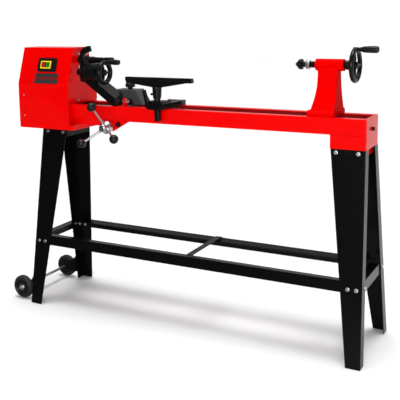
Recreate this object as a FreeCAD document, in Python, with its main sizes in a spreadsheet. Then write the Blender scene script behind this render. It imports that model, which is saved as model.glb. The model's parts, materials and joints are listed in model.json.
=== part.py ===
import FreeCAD, Part
import math
import os
import re
import Sketcher

# Free-standing wood lathe on a splayed sheet-metal stand.
# X runs along the bed from the headstock to the tailstock, +Y is the rear, +Z is up.
# The origin is on the floor under the middle of the machine.  Millimetres.

DIMENSIONS = [
    ("wall", -474, "x of the headstock cabinet's right wall"),
    ("bedTop", 837, "bed surface above the floor"),
    ("bedDepth", 58, "height of the bed rails"),
    ("bedHalf", 80, "half width of the bed"),
    ("bedLip", 30, "width of the rails' turned-in lips"),
    ("bedStart", -250, "left end of the rails, from the wall"),
    ("bedEnd", 1205, "right end of the rails, from the wall"),
    ("railSheet", 3, "rail and leg sheet thickness"),
    ("swing", 176, "spindle axis above the bed"),
    ("cabWidth", 255, "cabinet along x"),
    ("cabFront", 108, "front panel from the axis plane"),
    ("cabRear", 94, "rear panel from the axis plane"),
    ("cabFrontTop", 60, "roof's front edge from the axis plane"),
    ("cabRearTop", 38, "roof's rear edge from the axis plane"),
    ("cabTop", 1066, "roof height"),
    ("cabFrontKink", 918, "where the front panel starts to lean back"),
    ("cabRearKink", 871, "where the rear panel starts to lean forward"),
    ("skin", 2, "cabinet sheet thickness"),
    ("trayTop", 755, "base tray rim"),
    ("trayBottom", 733, "base tray underside"),
    ("trayReach", 22, "tray past the cabinet wall"),
    ("legTop", 731, "top of the legs"),
    ("legFoot", 182, "leg's outer face from the axis plane at the floor"),
    ("legLeftOut", -156, "left legs: outer edge at the top, from the wall"),
    ("legRightOut", 1214, "right legs: outer edge at the top, from the wall"),
    ("legWide", 125, "leg width at the top"),
    ("legNarrow", 53, "leg width at the floor"),
    ("legSplay", 19, "outward lean of a leg's outer edge along x"),
    ("legFlange", 40, "width of a leg's folded flange"),
    ("angleSize", 40, "stretcher angle section"),
    ("stretcherTop", 290, "top of the stretchers"),
    ("wheelRadius", 48, "transport wheel radius"),
    ("wheelWide", 24, "transport wheel width"),
    ("wheelX", -240, "transport axle, from the wall"),
    ("wheelY", 150, "transport wheel's middle from the axis plane"),
    ("wheelZ", 50, "transport axle height"),
    ("axleRadius", 6, "transport axle radius"),
    ("shaftGap", 0.05, "radial running clearance of shafts"),
    ("spindleRadius", 15, "spindle journal radius"),
    ("motorRadius", 50, "motor shell radius"),
    ("motorZ", 900, "motor axis height"),
    ("tailX", 1000, "tailstock base's left end, from the wall"),
    ("tailLong", 97, "tailstock base along x"),
    ("tailHalf", 68, "tailstock base half width"),
    ("barrelRadius", 21, "tailstock barrel radius"),
    ("quillRadius", 11.5, "quill radius"),
    ("quillBore", 7.3, "quill bore radius"),
    ("tailWheel", 62, "tailstock handwheel radius"),
    ("feedY", -60, "feed unit axis y"),
    ("feedZ", 968, "feed unit axis height"),
    ("feedWheel", 49, "feed handwheel radius"),
    ("stemX", 413, "tool rest stem, from the wall"),
    ("stemY", -95, "tool rest stem y"),
    ("stemRadius", 12.5, "tool rest stem radius"),
    ("restTop", 959, "tool rest's top edge"),
    ("capstanX", 178, "capstan axis, from the wall"),
    ("capstanZ", 755, "capstan axis height"),
    ("capstanReach", 90, "capstan knob circle radius"),
    ("boltRadius", 4, "stand bolt shank radius"),
]

doc = FreeCAD.newDocument("WoodLathe")
sheet = doc.addObject("Spreadsheet::Sheet", "Dims")
for row, (alias, value, meaning) in enumerate(DIMENSIONS, start=1):
    sheet.set(f"A{row}", meaning)
    sheet.set(f"B{row}", str(value))
    sheet.setAlias(f"B{row}", alias)
doc.recompute()

VALUES = {alias: value for alias, value, _ in DIMENSIONS}
UPRIGHT = FreeCAD.Rotation()
TURNS = {
    "+X": FreeCAD.Rotation(FreeCAD.Vector(0, 1, 0), 90),
    "-X": FreeCAD.Rotation(FreeCAD.Vector(0, 1, 0), -90),
    "+Y": FreeCAD.Rotation(FreeCAD.Vector(1, 0, 0), -90),
    "-Y": FreeCAD.Rotation(FreeCAD.Vector(1, 0, 0), 90),
    "+Z": UPRIGHT,
    "-Z": FreeCAD.Rotation(FreeCAD.Vector(1, 0, 0), 180),
}
REVOLVE_TURNS = {
    "+X": UPRIGHT,
    "+Y": FreeCAD.Rotation(FreeCAD.Vector(0, 0, 1), 90),
    "+Z": FreeCAD.Rotation(FreeCAD.Vector(0, 1, 0), -90),
}
nodes = {}


# --- helpers -----------------------------------------------------------------

def bound(text):
    """Turn 'bedTop - 3' into an expression that reads the sheet."""
    return re.sub(r"\b([a-z][A-Za-z]*)\b", r"<<Dims>>.\1", str(text))


def number(text):
    """The present value of a sheet expression, used to start a sketch close to it."""
    sheet_cell = "AA1"
    plain = re.sub(r"\b([a-z][A-Za-z]*)\b", lambda m: f"({VALUES[m.group(1)]})", str(text))
    sheet.set(sheet_cell, "=" + plain)
    sheet.recompute()
    return float(sheet.get(sheet_cell))


def turn_of(axis):
    """A direction is a name such as "+X" or a rotation of its own."""
    return TURNS[axis] if isinstance(axis, str) else axis


def place(obj, at, turn=UPRIGHT):
    """Bind an object's position to the sheet and give it its direction."""
    obj.Placement = FreeCAD.Placement(FreeCAD.Vector(0, 0, 0), turn)
    for axis, value in zip("xyz", at):
        obj.setExpression(f"Placement.Base.{axis}", bound(value))
    return obj


def box(name, size, at, turn=UPRIGHT):
    obj = doc.addObject("Part::Box", name)
    for prop, value in zip(("Length", "Width", "Height"), size):
        obj.setExpression(prop, bound(value))
    return place(obj, at, turn)


def rod(name, radius, length, at, axis="+Z"):
    obj = doc.addObject("Part::Cylinder", name)
    obj.setExpression("Radius", bound(radius))
    obj.setExpression("Height", bound(length))
    return place(obj, at, turn_of(axis))


def cone(name, radius1, radius2, length, at, axis="+Z"):
    obj = doc.addObject("Part::Cone", name)
    for prop, value in zip(("Radius1", "Radius2", "Height"), (radius1, radius2, length)):
        obj.setExpression(prop, bound(value))
    return place(obj, at, turn_of(axis))


def hexagon(name, radius, length, at, axis="+Z"):
    obj = doc.addObject("Part::Prism", name)
    obj.Polygon = 6
    obj.setExpression("Circumradius", bound(radius))
    obj.setExpression("Height", bound(length))
    return place(obj, at, turn_of(axis))


def ball(name, radius, at):
    obj = doc.addObject("Part::Sphere", name)
    obj.setExpression("Radius", bound(radius))
    return place(obj, at)


def ring(name, radius1, radius2, at, axis="+Z"):
    obj = doc.addObject("Part::Torus", name)
    obj.setExpression("Radius1", bound(radius1))
    obj.setExpression("Radius2", bound(radius2))
    return place(obj, at, TURNS[axis])


def fuse(name, *parts):
    obj = doc.addObject("Part::MultiFuse", name)
    obj.Shapes = list(parts)
    return obj


def group(name, *parts):
    obj = doc.addObject("Part::Compound", name)
    obj.Links = list(parts)
    return obj


def cut(name, base, *tools):
    obj = doc.addObject("Part::Cut", name)
    obj.Base = base
    obj.Tool = tools[0] if len(tools) == 1 else fuse(name + "_tools", *tools)
    return obj


def common(name, first, second):
    obj = doc.addObject("Part::Common", name)
    obj.Base = first
    obj.Tool = second
    return obj


def node(name, obj):
    obj.Label = name
    nodes[name] = obj
    return obj


def plane_of(body, role):
    return next(f for f in body.Origin.OriginFeatures if f.Role == role)


def outline(sketch, points, arcs=None):
    """A closed outline. arcs maps an edge number to (radius, clockwise)."""
    arcs = arcs or {}
    spots = [FreeCAD.Vector(number(x), number(y), 0) for x, y in points]
    starts, ends = [], []
    for index, start in enumerate(spots):
        end = spots[(index + 1) % len(spots)]
        if index in arcs:
            radius, clockwise = arcs[index]
            half = (end - start) * 0.5
            rise = math.sqrt(number(radius) ** 2 - half.Length ** 2)
            side = FreeCAD.Vector(half.y, -half.x, 0) if clockwise else FreeCAD.Vector(-half.y, half.x, 0)
            centre = start + half + side * (rise / half.Length)
            first, last = (end, start) if clockwise else (start, end)
            angles = [math.atan2(p.y - centre.y, p.x - centre.x) for p in (first, last)]
            circle = Part.Circle(centre, FreeCAD.Vector(0, 0, 1), number(radius))
            edge = sketch.addGeometry(Part.ArcOfCircle(circle, *angles))
            starts.append((edge, 2 if clockwise else 1))
            ends.append((edge, 1 if clockwise else 2))
            item = sketch.addConstraint(Sketcher.Constraint("Radius", edge, number(radius)))
            sketch.setExpression(f"Constraints[{item}]", bound(radius))
        else:
            edge = sketch.addGeometry(Part.LineSegment(start, end))
            starts.append((edge, 1))
            ends.append((edge, 2))
    for index, start in enumerate(starts):
        sketch.addConstraint(Sketcher.Constraint("Coincident", *ends[index - 1], *start))
        for kind, text, value in zip(("DistanceX", "DistanceY"), points[index], spots[index]):
            item = sketch.addConstraint(Sketcher.Constraint(kind, -1, 1, *start, value))
            sketch.setExpression(f"Constraints[{item}]", bound(text))


def new_sketch(body, name, role):
    sketch = body.newObject("Sketcher::SketchObject", name)
    sketch.AttachmentSupport = [(plane_of(body, role), "")]
    sketch.MapMode = "FlatFace"
    return sketch


def slab(name, role, points, length, at, turn=UPRIGHT, arcs=None, back=False):
    """A padded outline. YZ pads run to +X; XZ pads run to -Y, or to +Y when back is set."""
    body = doc.addObject("PartDesign::Body", name)
    sketch = new_sketch(body, name + "_sketch", role)
    outline(sketch, points, arcs)
    pad = body.newObject("PartDesign::Pad", name + "_pad")
    pad.Profile = sketch
    pad.Reversed = back
    pad.setExpression("Length", bound(length))
    return place(body, at, turn)


def turned(name, points, at, axis="+X"):
    """A lathe-turned piece: points are (along the axis, radius)."""
    body = doc.addObject("PartDesign::Body", name)
    sketch = new_sketch(body, name + "_sketch", "XZ_Plane")
    outline(sketch, points)
    spin = body.newObject("PartDesign::Revolution", name + "_turn")
    spin.Profile = sketch
    spin.ReferenceAxis = (sketch, ["H_Axis"])
    spin.Angle = 360
    return place(body, at, REVOLVE_TURNS[axis])


def x_from_wall(distance):
    return f"wall + ({distance})"


AXIS_Z = "bedTop + swing"


# --- bed ---------------------------------------------------------------------

def rail(name, side):
    """A folded channel with lips turned in at the top and the bottom."""
    out, web = f"{side} * bedHalf", f"{side} * (bedHalf - railSheet)"
    lip = f"{side} * (bedHalf - bedLip)"
    points = [
        (out, "0"), (out, "bedDepth"), (lip, "bedDepth"), (lip, "bedDepth - railSheet"),
        (web, "bedDepth - railSheet"), (web, "railSheet"), (lip, "railSheet"), (lip, "0"),
    ]
    return slab(name, "YZ_Plane", points, "bedEnd - bedStart",
                ("wall + bedStart", 0, "bedTop - bedDepth"))


hanger_hole = rod("hanger_hole", "8 + shaftGap", 30, ("wall + capstanX", "10 - bedHalf", "capstanZ"), "-Y")
node("bed_rail_front", rail("rail_front", -1))
node("bed_rail_rear", rail("rail_rear", 1))

ties = [box(f"tie_{spot}", (40, "2 * (bedHalf - railSheet)", 15),
            (x_from_wall(spot), "railSheet - bedHalf", "bedTop - bedDepth + railSheet"))
        for spot in (330, 640, 950)]

cap_plate = box("cap_plate", (10, "2 * bedHalf", "bedTop - legTop"), ("wall + bedEnd", "-bedHalf", "legTop"))
cap_round = doc.addObject("Part::Fillet", "cap_round")
cap_round.Base = cap_plate
doc.recompute()
corner_edges = [i for i, edge in enumerate(cap_plate.Shape.Edges, start=1)
                if abs(edge.tangentAt(0).z) > 0.9 and edge.CenterOfMass.x > number("wall + bedEnd") + 5]
cap_round.Edges = [(i, 8.0, 8.0) for i in corner_edges]
CAP_BOLT_Z = "bedTop - 41"
cap_bolt_hole = rod("cap_bolt_hole", "boltRadius + 0.3", 30, (x_from_wall("bedEnd - 5"), 0, CAP_BOLT_Z), "+X")
node("bed_end_cap", cut("end_cap", cap_round, cap_bolt_hole))

STOP_Y = "15 - bedHalf"
stop_block = box("stop_block", (8, 20, 32), (x_from_wall(243), "5 - bedHalf", "bedTop"))
stop_hole = rod("stop_hole", "boltRadius + 0.2", 20, (x_from_wall(235), STOP_Y, "bedTop + 20"), "+X")
stop_lug = cut("stop_lug", stop_block, stop_hole)

hanger_plate = slab(
    "hanger_plate", "XZ_Plane",
    [(155, -3), (266, -3), (250, -12), (198, -42), (160, -42)], 5,
    ("wall", "5 - bedHalf", "bedTop - bedDepth"))
hanger_flange = box("hanger_flange", (111, 28, 3), (x_from_wall(155), "-bedHalf", "bedTop - bedDepth - 3"))
HANGER_BOLT_Z = "bedTop - bedDepth - 13"
hanger_bolt_hole = rod("hanger_bolt_hole", "boltRadius + 1.2", 30,
                       (x_from_wall(222), "10 - bedHalf", HANGER_BOLT_Z), "-Y")
hanger = cut("hanger", fuse("hanger_solid", hanger_plate, hanger_flange), hanger_hole, hanger_bolt_hole)

# The riser carries the bed over the tray; it is open below and its right end stands clear of the tray.
riser_form = slab(
    "riser_form", "XZ_Plane",
    [(-200, "trayBottom + skin"), (18, "trayBottom + skin"), (18, "trayTop"), (148, "trayTop"),
     (148, "bedTop - bedDepth"), (-200, "bedTop - bedDepth")],
    "2 * bedHalf - 20", ("wall", "bedHalf - 10", 0))
riser_hollow = box("riser_hollow", (342, "2 * bedHalf - 26", 60),
                   (x_from_wall(-197), "13 - bedHalf", "bedTop - bedDepth - 63"))
riser = cut("riser", riser_form, riser_hollow)
node("bed_fittings", group("fittings", stop_lug, hanger, riser, *ties))

# --- headstock cabinet ---------------------------------------------------------

HOUSE = [
    ("-cabFront", "trayTop"), ("cabRear", "trayTop"), ("cabRear", "cabRearKink"),
    ("cabRearTop", "cabTop"), ("-cabFrontTop", "cabTop"), ("-cabFront", "cabFrontKink"),
]


def open_cabinet():
    """Front, roof and rear folded from one sheet, open at both sides and below."""
    form = slab("cabinet_form", "YZ_Plane", HOUSE, "cabWidth - 2 * skin", ("wall - cabWidth + skin", 0, 0))
    doc.recompute()
    open_faces = [f"Face{i}" for i, face in enumerate(form.Shape.Faces, start=1)
                  if abs(face.normalAt(0, 0).x) > 0.9 or face.normalAt(0, 0).z < -0.9]
    shell = doc.addObject("Part::Thickness", "cabinet_thickness")
    shell.Faces = (form, open_faces)
    shell.Mode = 0
    shell.Join = 2
    shell.setExpression("Value", bound("-skin"))
    return shell


def wall_screws():
    """Screws through the right wall: four round the spindle, two low down, two in the front."""
    spots = [(side * 26, f"{AXIS_Z} + {rise * 26}") for side in (-1, 1) for rise in (-1, 1)]
    return spots + [(-38, "bedTop + 12"), (86, "bedTop + 2")]


cabinet = open_cabinet()
screws, screw_holes = [], []
for index, (y, z) in enumerate(wall_screws()):
    head = hexagon(f"wall_screw_head{index}", 6.2, 4, ("wall", y, z), "+X")
    shank = rod(f"wall_screw_shank{index}", 3, 8, ("wall - 8", y, z), "+X")
    screws.append(fuse(f"wall_screw{index}", head, shank))
    screw_holes.append(rod(f"wall_screw_hole{index}", 3.2, 20, ("wall - 12", y, z), "+X"))
front_holes = []
for index, z in enumerate(("trayTop + 29", "trayTop + 114")):
    spot = (x_from_wall("27 - cabWidth"), "-cabFront", z)
    head = rod(f"front_screw_head{index}", 5, 2.5, spot, "-Y")
    shank = rod(f"front_screw_shank{index}", 2.5, 8, spot, "+Y")
    screws.append(fuse(f"front_screw{index}", head, shank))
    front_holes.append(rod(f"front_screw_hole{index}", 2.7, 12, (spot[0], "-cabFront - 2", z), "+Y"))
node("cabinet_shell", cut("cabinet_drilled", cabinet, *front_holes))

right_wall = slab("right_wall", "YZ_Plane", HOUSE, "skin", ("wall - skin", 0, 0))
bed_window = box("bed_window", (20, "2 * bedHalf + 1", "bedDepth + 1"),
                 ("wall - 10", "-bedHalf - 0.5", "bedTop - bedDepth - 0.5"))
riser_window = box("riser_window", (20, "2 * bedHalf - 18", 40), ("wall - 10", "9 - bedHalf", "trayTop - 10"))
spindle_window = rod("spindle_window", 21, 20, ("wall - 10", 0, AXIS_Z), "+X")
right_holes = group("right_holes", *screw_holes)
node("cabinet_side_right", cut("right_wall_cut", right_wall, bed_window, riser_window, spindle_window,
                               right_holes))

left_wall = slab("left_wall", "YZ_Plane", HOUSE, "skin", ("wall - cabWidth", 0, 0))
vents = [box(f"vent_{i}", (10, 70, 5), ("wall - cabWidth - 4", -35, f"bedTop + 30 + {i * 14}"))
         for i in range(7)]
node("cabinet_side_left", cut("left_wall_cut", left_wall, *vents))

tray_outer = box("tray_outer", ("cabWidth + trayReach", "cabFront + cabRear", "trayTop - trayBottom"),
                 ("wall - cabWidth", "-cabFront", "trayBottom"))
tray_inner = box("tray_inner",
                 ("cabWidth + trayReach - 2 * skin", "cabFront + cabRear - 2 * skin", "trayTop"),
                 ("wall - cabWidth + skin", "skin - cabFront", "trayBottom + skin"))
node("base_tray", cut("tray", tray_outer, tray_inner))

# Bearing block: a casting on the bed's top, bored for two ball races.
block_base = box("block_base", (150, 60, 30), (x_from_wall(-165), -30, "bedTop + 126"))
block_tube = rod("block_tube", 34, 155, (x_from_wall(-165), 0, AXIS_Z), "+X")
block_posts = [box(f"block_post_{side}", (150, 6, 126), (x_from_wall(-165), side * 58 - 3, "bedTop"))
               for side in (-1, 1)]
block_shelf = box("block_shelf", (150, 122, 8), (x_from_wall(-165), -61, "bedTop + 120"))
block_bore = rod("block_bore", "spindleRadius + 2", 200, (x_from_wall(-180), 0, AXIS_Z), "+X")
block_seats = [rod(f"block_seat_{start}", 26, 17, (x_from_wall(start), 0, AXIS_Z), "+X")
               for start in (-166, -26)]
block_holes = group("block_holes", *[rod(f"block_hole{i}", 3.2, 24, ("wall - 26", y, z), "+X")
                                     for i, (y, z) in enumerate(wall_screws()[:4])])
block = fuse("block", block_base, block_tube, block_shelf, *block_posts)
flange = box("block_flange", (8, 76, 76), ("wall - skin - 8", -38, AXIS_Z + " - 38"))
node("headstock_housing", cut("housing", fuse("housing_solid", block, flange), block_bore,
                              *block_seats, block_holes,
                              rod("flange_bore", 26, 30, (x_from_wall(-26), 0, AXIS_Z), "+X")))


def race(name, start):
    outer = rod(name + "_outer", 26, 15, (x_from_wall(start), 0, AXIS_Z), "+X")
    inner = rod(name + "_inner", "spindleRadius + shaftGap", 15, (x_from_wall(start), 0, AXIS_Z), "+X")
    return cut(name, outer, inner)


node("spindle_bearings", group("bearings", race("race_rear", -166), race("race_front", -24)))

# --- spindle, motor and belt ---------------------------------------------------

SHEAVE_X = -215
SPINDLE_SHEAVE = 30
MOTOR_SHEAVE = 15
node("spindle", turned("spindle_turned", [
    (-232, 0), (-232, "spindleRadius - 3"), (-172, "spindleRadius - 3"), (-172, "spindleRadius"),
    (0, "spindleRadius"), (0, 20), (12, 20), (12, "spindleRadius"), (62, "spindleRadius"),
    (62, 12.5), (100, 12.5), (100, 8.5), (60, 8.5), (60, 0)], ("wall", 0, AXIS_Z)))
node("drive_centre", turned("drive_centre_turned", [
    (62, 0), (62, 8.45), (100.5, 8.45), (100.5, 11), (135, 13), (150, 13), (150, 8), (152, 3), (168, 0)],
    ("wall", 0, AXIS_Z)))


def sheave(name, radius, bore, z):
    """A two-flange V pulley."""
    rim = [(-10, bore), (-10, radius + 6), (-7, radius + 6), (-3, radius - 2), (3, radius - 2),
           (7, radius + 6), (10, radius + 6), (10, bore)]
    return turned(name, rim, (x_from_wall(SHEAVE_X), 0, z))


node("spindle_pulley", sheave("spindle_sheave", SPINDLE_SHEAVE, "spindleRadius - 3", AXIS_Z))
motor_sheave = sheave("motor_sheave", MOTOR_SHEAVE, 7, "motorZ")
motor_shaft = rod("motor_shaft", 7, 182, (x_from_wall(-228), 0, "motorZ"), "+X")
node("motor_pulley", fuse("motor_rotor", motor_sheave, motor_shaft))

belt_spindle = rod("belt_spindle", SPINDLE_SHEAVE + 4, 6, (x_from_wall(SHEAVE_X - 3), 0, AXIS_Z), "+X")
belt_motor = rod("belt_motor", MOTOR_SHEAVE + 4, 6, (x_from_wall(SHEAVE_X - 3), 0, "motorZ"), "+X")


def belt_web(name, grow, length):
    """The flat-sided space between the two pulleys, grow outside their pitch circles."""
    low, high = MOTOR_SHEAVE + grow, SPINDLE_SHEAVE + grow
    points = [(-low, "motorZ"), (low, "motorZ"), (high, AXIS_Z), (-high, AXIS_Z)]
    return slab(name, "YZ_Plane", points, length, (x_from_wall(SHEAVE_X - length / 2), 0, 0))


belt_inside = fuse("belt_inside", rod("belt_in_spindle", SPINDLE_SHEAVE + 0.5, 8,
                                      (x_from_wall(SHEAVE_X - 4), 0, AXIS_Z), "+X"),
                   rod("belt_in_motor", MOTOR_SHEAVE + 0.5, 8,
                       (x_from_wall(SHEAVE_X - 4), 0, "motorZ"), "+X"),
                   belt_web("belt_in_web", 0.5, 8))
node("drive_belt", cut("belt", fuse("belt_outside", belt_spindle, belt_motor, belt_web("belt_web", 4, 6)),
                       belt_inside))

shell = rod("motor_shell", "motorRadius", 140, (x_from_wall(-190), 0, "motorZ"), "+X")
motor_foot = box("motor_foot", (110, 104, 24), (x_from_wall(-175), -52, "bedTop"))
motor_solid = fuse("motor_solid", shell, motor_foot)
motor_bore = rod("motor_bore", "7 + shaftGap", 160, (x_from_wall(-200), 0, "motorZ"), "+X")
node("motor", cut("motor_cut", motor_solid, motor_bore))

# --- switch --------------------------------------------------------------------
# The switch sits on the leaning front panel; its own frame has +Y pointing into the panel.

PANEL_LEAN = math.degrees(math.atan2(48, 148))
panel_turn = FreeCAD.Rotation(FreeCAD.Vector(1, 0, 0), -PANEL_LEAN)


def on_panel(height, out=0.0):
    """A point of the leaning panel at a height above its kink, out from its face."""
    lean = math.radians(PANEL_LEAN)
    y = f"-cabFront + {height * math.sin(lean) - out * math.cos(lean):.3f}"
    z = f"cabFrontKink + {height * math.cos(lean) + out * math.sin(lean):.3f}"
    return y, z


SWITCH_X = -163
plate_y, plate_z = on_panel(52, 5)
switch_body = box("switch_body", (94, 5, 58), (x_from_wall(SWITCH_X), plate_y, plate_z), panel_turn)
button_slots = []
for label, start in (("red", -142), ("green", -120)):
    slot_y, slot_z = on_panel(72, 10)
    button_slots.append(box(f"slot_{label}", (18, 14, 18), (x_from_wall(start), slot_y, slot_z), panel_turn))
node("switch_plate", cut("switch_cut", switch_body, *button_slots))
frame_y, frame_z = on_panel(65, 7.5)
frame_outer = box("frame_outer", (52, 2.5, 32), (x_from_wall(-147), frame_y, frame_z), panel_turn)
hole_y, hole_z = on_panel(70, 9)
frame_hole = box("frame_hole", (42, 6, 22), (x_from_wall(-143), hole_y, hole_z), panel_turn)
node("switch_frame", cut("frame_cut", frame_outer, frame_hole))
for label, start in (("red", -141.6), ("green", -119.6)):
    key_y, key_z = on_panel(72.4, 9)
    key = box(f"key_{label}", (17.2, 5.5, 17.2), (x_from_wall(start), key_y, key_z), panel_turn)
    node(f"button_{label}", key)
label_y, label_z = on_panel(2, 1.4)
node("label_plate", box("label", (120, 1.2, 44), (x_from_wall(-173), label_y, label_z), panel_turn))

# --- stand -----------------------------------------------------------------------

LEAN = math.degrees(math.atan2(VALUES["legFoot"] - VALUES["bedHalf"], VALUES["legTop"]))
leg_slab = box("leg_slab", (2000, 600, "legTop"), (-1000, -300, 0))
bolts, bolt_holes = [], []


def leg_frame(side):
    """Turn of a leg's own frame: side is -1 at the front and +1 at the rear."""
    return FreeCAD.Rotation(FreeCAD.Vector(1, 0, 0), side * LEAN)


def stand_bolt(at, axis, grip):
    """A hex bolt with its head at `at`, its shank and its nut past the grip."""
    index = len(bolts)
    turn = turn_of(axis)
    inward = turn.multVec(FreeCAD.Vector(0, 0, 1))

    def along(step):
        return tuple(f"{base} + {part * step:.4f}" for base, part in zip(at, inward))

    head = hexagon(f"bolt_head{index}", 8, 5, along(-5), turn)
    shank = rod(f"bolt_shank{index}", "boltRadius", grip + 9, at, turn)
    nut = hexagon(f"bolt_nut{index}", 8, 6, along(grip), turn)
    bolts.append(fuse(f"bolt{index}", head, shank, nut))
    bolt_holes.append(rod(f"bolt_hole{index}", "boltRadius + 0.3", grip + 8, along(-1), turn))


def on_leg(side, x, drop):
    """A point on a leg's outer face, drop below the leg's top along the face."""
    lean = math.radians(LEAN)
    return (x_from_wall(x), f"{side} * (bedHalf + {drop * math.sin(lean):.4f})",
            f"legTop - {drop * math.cos(lean):.4f}")


def leg(name, side, hand, outer):
    """A tapered plate folded along its outer edge. hand is -1 at the left end, +1 at the right."""
    out_top, in_top = outer, f"{outer} - {hand} * legWide"
    out_low = f"{outer} + {hand} * legSplay * 1.06"
    in_low = f"{out_low} - {hand} * (legNarrow - 4)"
    plate = slab(name + "_plate", "XZ_Plane",
                 [(out_top, 20), (out_low, "-legTop * 1.06"), (in_low, "-legTop * 1.06"), (in_top, 20)],
                 "railSheet", ("wall", f"{side} * bedHalf", "legTop"), leg_frame(side), back=side < 0)
    fold = slab(name + "_fold", "XZ_Plane",
                [(out_top, 20), (out_low, "-legTop * 1.06"),
                 (f"{out_low} - {hand} * railSheet", "-legTop * 1.06"),
                 (f"{out_top} - {hand} * railSheet", 20)],
                "legFlange", ("wall", f"{side} * bedHalf", "legTop"), leg_frame(side), back=side < 0)
    return common(name + "_trim", fuse(name + "_solid", plate, fold), leg_slab)


SIDES = {"front": -1, "rear": 1}
ENDS = {"left": (-1, "legLeftOut"), "right": (1, "legRightOut")}
LOWER_DROP = 472
raw_legs = {}
for side_name, side in SIDES.items():
    inward = FreeCAD.Rotation(FreeCAD.Vector(1, 0, 0), side * LEAN + (90 if side > 0 else -90))
    for end_name, (hand, outer) in ENDS.items():
        raw_legs[f"leg_{side_name}_{end_name}"] = leg(f"{side_name}_{end_name}", side, hand, outer)
        for inset in (25, 103):
            stand_bolt(on_leg(side, f"{outer} - {hand} * {inset}", 12), inward, 10.5)
        for inset in (20, 50):
            spot = f"{outer} + {hand} * {12 - inset}"
            stand_bolt(on_leg(side, spot, LOWER_DROP), inward, 6.5)
doc.recompute()


def end_bolts():
    """Bolts through the folded flanges into the side stretchers and the leg blocks."""
    for hand, outer in ENDS.values():
        turn = "-X" if hand > 0 else "+X"
        for side in SIDES.values():
            stand_bolt((x_from_wall(f"{outer} + {hand} * 13.1"), side * 118, 268), turn, 8)


end_bolts()
all_holes = group("stand_bolt_holes", *bolt_holes)
for name, raw in raw_legs.items():
    node(name, cut(name + "_drilled", raw, all_holes))


def block_under_bed(name, start, long, high):
    """Folded box between the bed and the legs, with a skirt inside the legs."""
    skirt = box(name + "_skirt", (long - 8, "2 * bedHalf - 8", 30),
                (x_from_wall(start + 4), "4 - bedHalf", "legTop - 30"))
    skirt_hole = box(name + "_skirt_hole", (long - 14, "2 * bedHalf - 14", 50),
                     (x_from_wall(start + 7), "7 - bedHalf", "legTop - 40"))
    top = box(name + "_top", (long, "2 * bedHalf", high), (x_from_wall(start), "-bedHalf", "legTop"))
    if high <= 3:
        return cut(name, fuse(name + "_solid", top, cut(name + "_ring", skirt, skirt_hole)), all_holes)
    top_hole = box(name + "_top_hole", (long - 6, "2 * bedHalf - 6", high - 3),
                   (x_from_wall(start + 3), "3 - bedHalf", "legTop"))
    return cut(name, fuse(name + "_solid", cut(name + "_tube", top, top_hole),
                          cut(name + "_ring", skirt, skirt_hole)), all_holes)


node("leg_block_right", block_under_bed("block_right", 1089, 116, 48))
node("leg_block_left", block_under_bed("block_left", -155, 125, 2))


STRETCHER_DROP = 446
STRETCHER_SPAN = (-160, 1218)
STRETCHER_SHELF_SPAN = (-112, 1170)


def strip(left, right, high):
    """Corners of a strip whose top edge lies a stretcher's drop below the legs' top."""
    top, bottom = f"-{STRETCHER_DROP}", f"-{STRETCHER_DROP} - {high}"
    return [(left, top), (right, top), (right, bottom), (left, bottom)]


def long_stretcher(name, side):
    """Angle iron bolted flush inside two legs; the top flange stops short of the legs."""
    web = slab(name + "_web", "XZ_Plane", strip(*STRETCHER_SPAN, "angleSize"),
               "railSheet", ("wall", 0, 0), UPRIGHT, back=side < 0)
    shelf = slab(name + "_shelf", "XZ_Plane", strip(*STRETCHER_SHELF_SPAN, "railSheet"),
                 "angleSize", ("wall", 0, 0), UPRIGHT, back=side < 0)
    angle = fuse(name + "_angle", web, shelf)
    lean = math.radians(LEAN)
    shift = VALUES["railSheet"]
    place(angle, (0, f"{side} * (bedHalf - {shift * math.cos(lean):.4f})",
                  f"legTop - {shift * math.sin(lean):.4f}"), leg_frame(side))
    return cut(name, angle, all_holes)


def side_stretcher(name, hand, outer):
    """Short angle between the front and rear legs at one end."""
    x_web = x_from_wall(f"{outer} + {hand} * 8.6")
    start = x_web if hand < 0 else f"{x_web} - railSheet"
    web = box(name + "_web", ("railSheet", 262, "angleSize"), (start, -131, "stretcherTop - angleSize - 4"))
    shelf_start = x_web if hand < 0 else f"{x_web} - angleSize + 4"
    shelf = box(name + "_shelf", ("angleSize - 4", 190, "railSheet"), (shelf_start, -95, "stretcherTop - 7"))
    return cut(name, fuse(name + "_angle", web, shelf), all_holes)


node("stretcher_front", long_stretcher("front_angle", -1))
node("stretcher_rear", long_stretcher("rear_angle", 1))
node("stretcher_left", side_stretcher("left_angle", -1, "legLeftOut"))
node("stretcher_right", side_stretcher("right_angle", 1, "legRightOut"))
node("stretcher_middle", box("middle_bar", (25, 264, 3), (x_from_wall(545), -132, "stretcherTop + 1")))

# --- transport wheels --------------------------------------------------------------

brackets = []
for side_name, side in SIDES.items():
    plate_y = f"{side} * 132 + 2"
    plate = slab(f"bracket_{side_name}_plate", "XZ_Plane",
                 [(-174.4, "wheelZ - 15"), (-174.4, "wheelZ + 56"),
                  ("wheelX + 8", "wheelZ + 15"), ("wheelX - 8", "wheelZ + 11"),
                  ("wheelX - 12", "wheelZ - 5"), ("wheelX - 2", "wheelZ - 15")],
                 4, ("wall", plate_y, 0))
    tab = box(f"bracket_{side_name}_tab", (3, 36, 71),
              (x_from_wall(-177.4), "132 - 2" if side > 0 else "-132 + 2 - 36", "wheelZ - 15"))
    eye = rod(f"bracket_{side_name}_eye", "axleRadius + 0.02", 20,
              (x_from_wall("wheelX"), f"{side} * 132 - 10", "wheelZ"), "+Y")
    brackets.append(cut(f"bracket_{side_name}", fuse(f"bracket_{side_name}_solid", plate, tab), eye))
node("wheel_brackets", group("brackets", *brackets))

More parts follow.
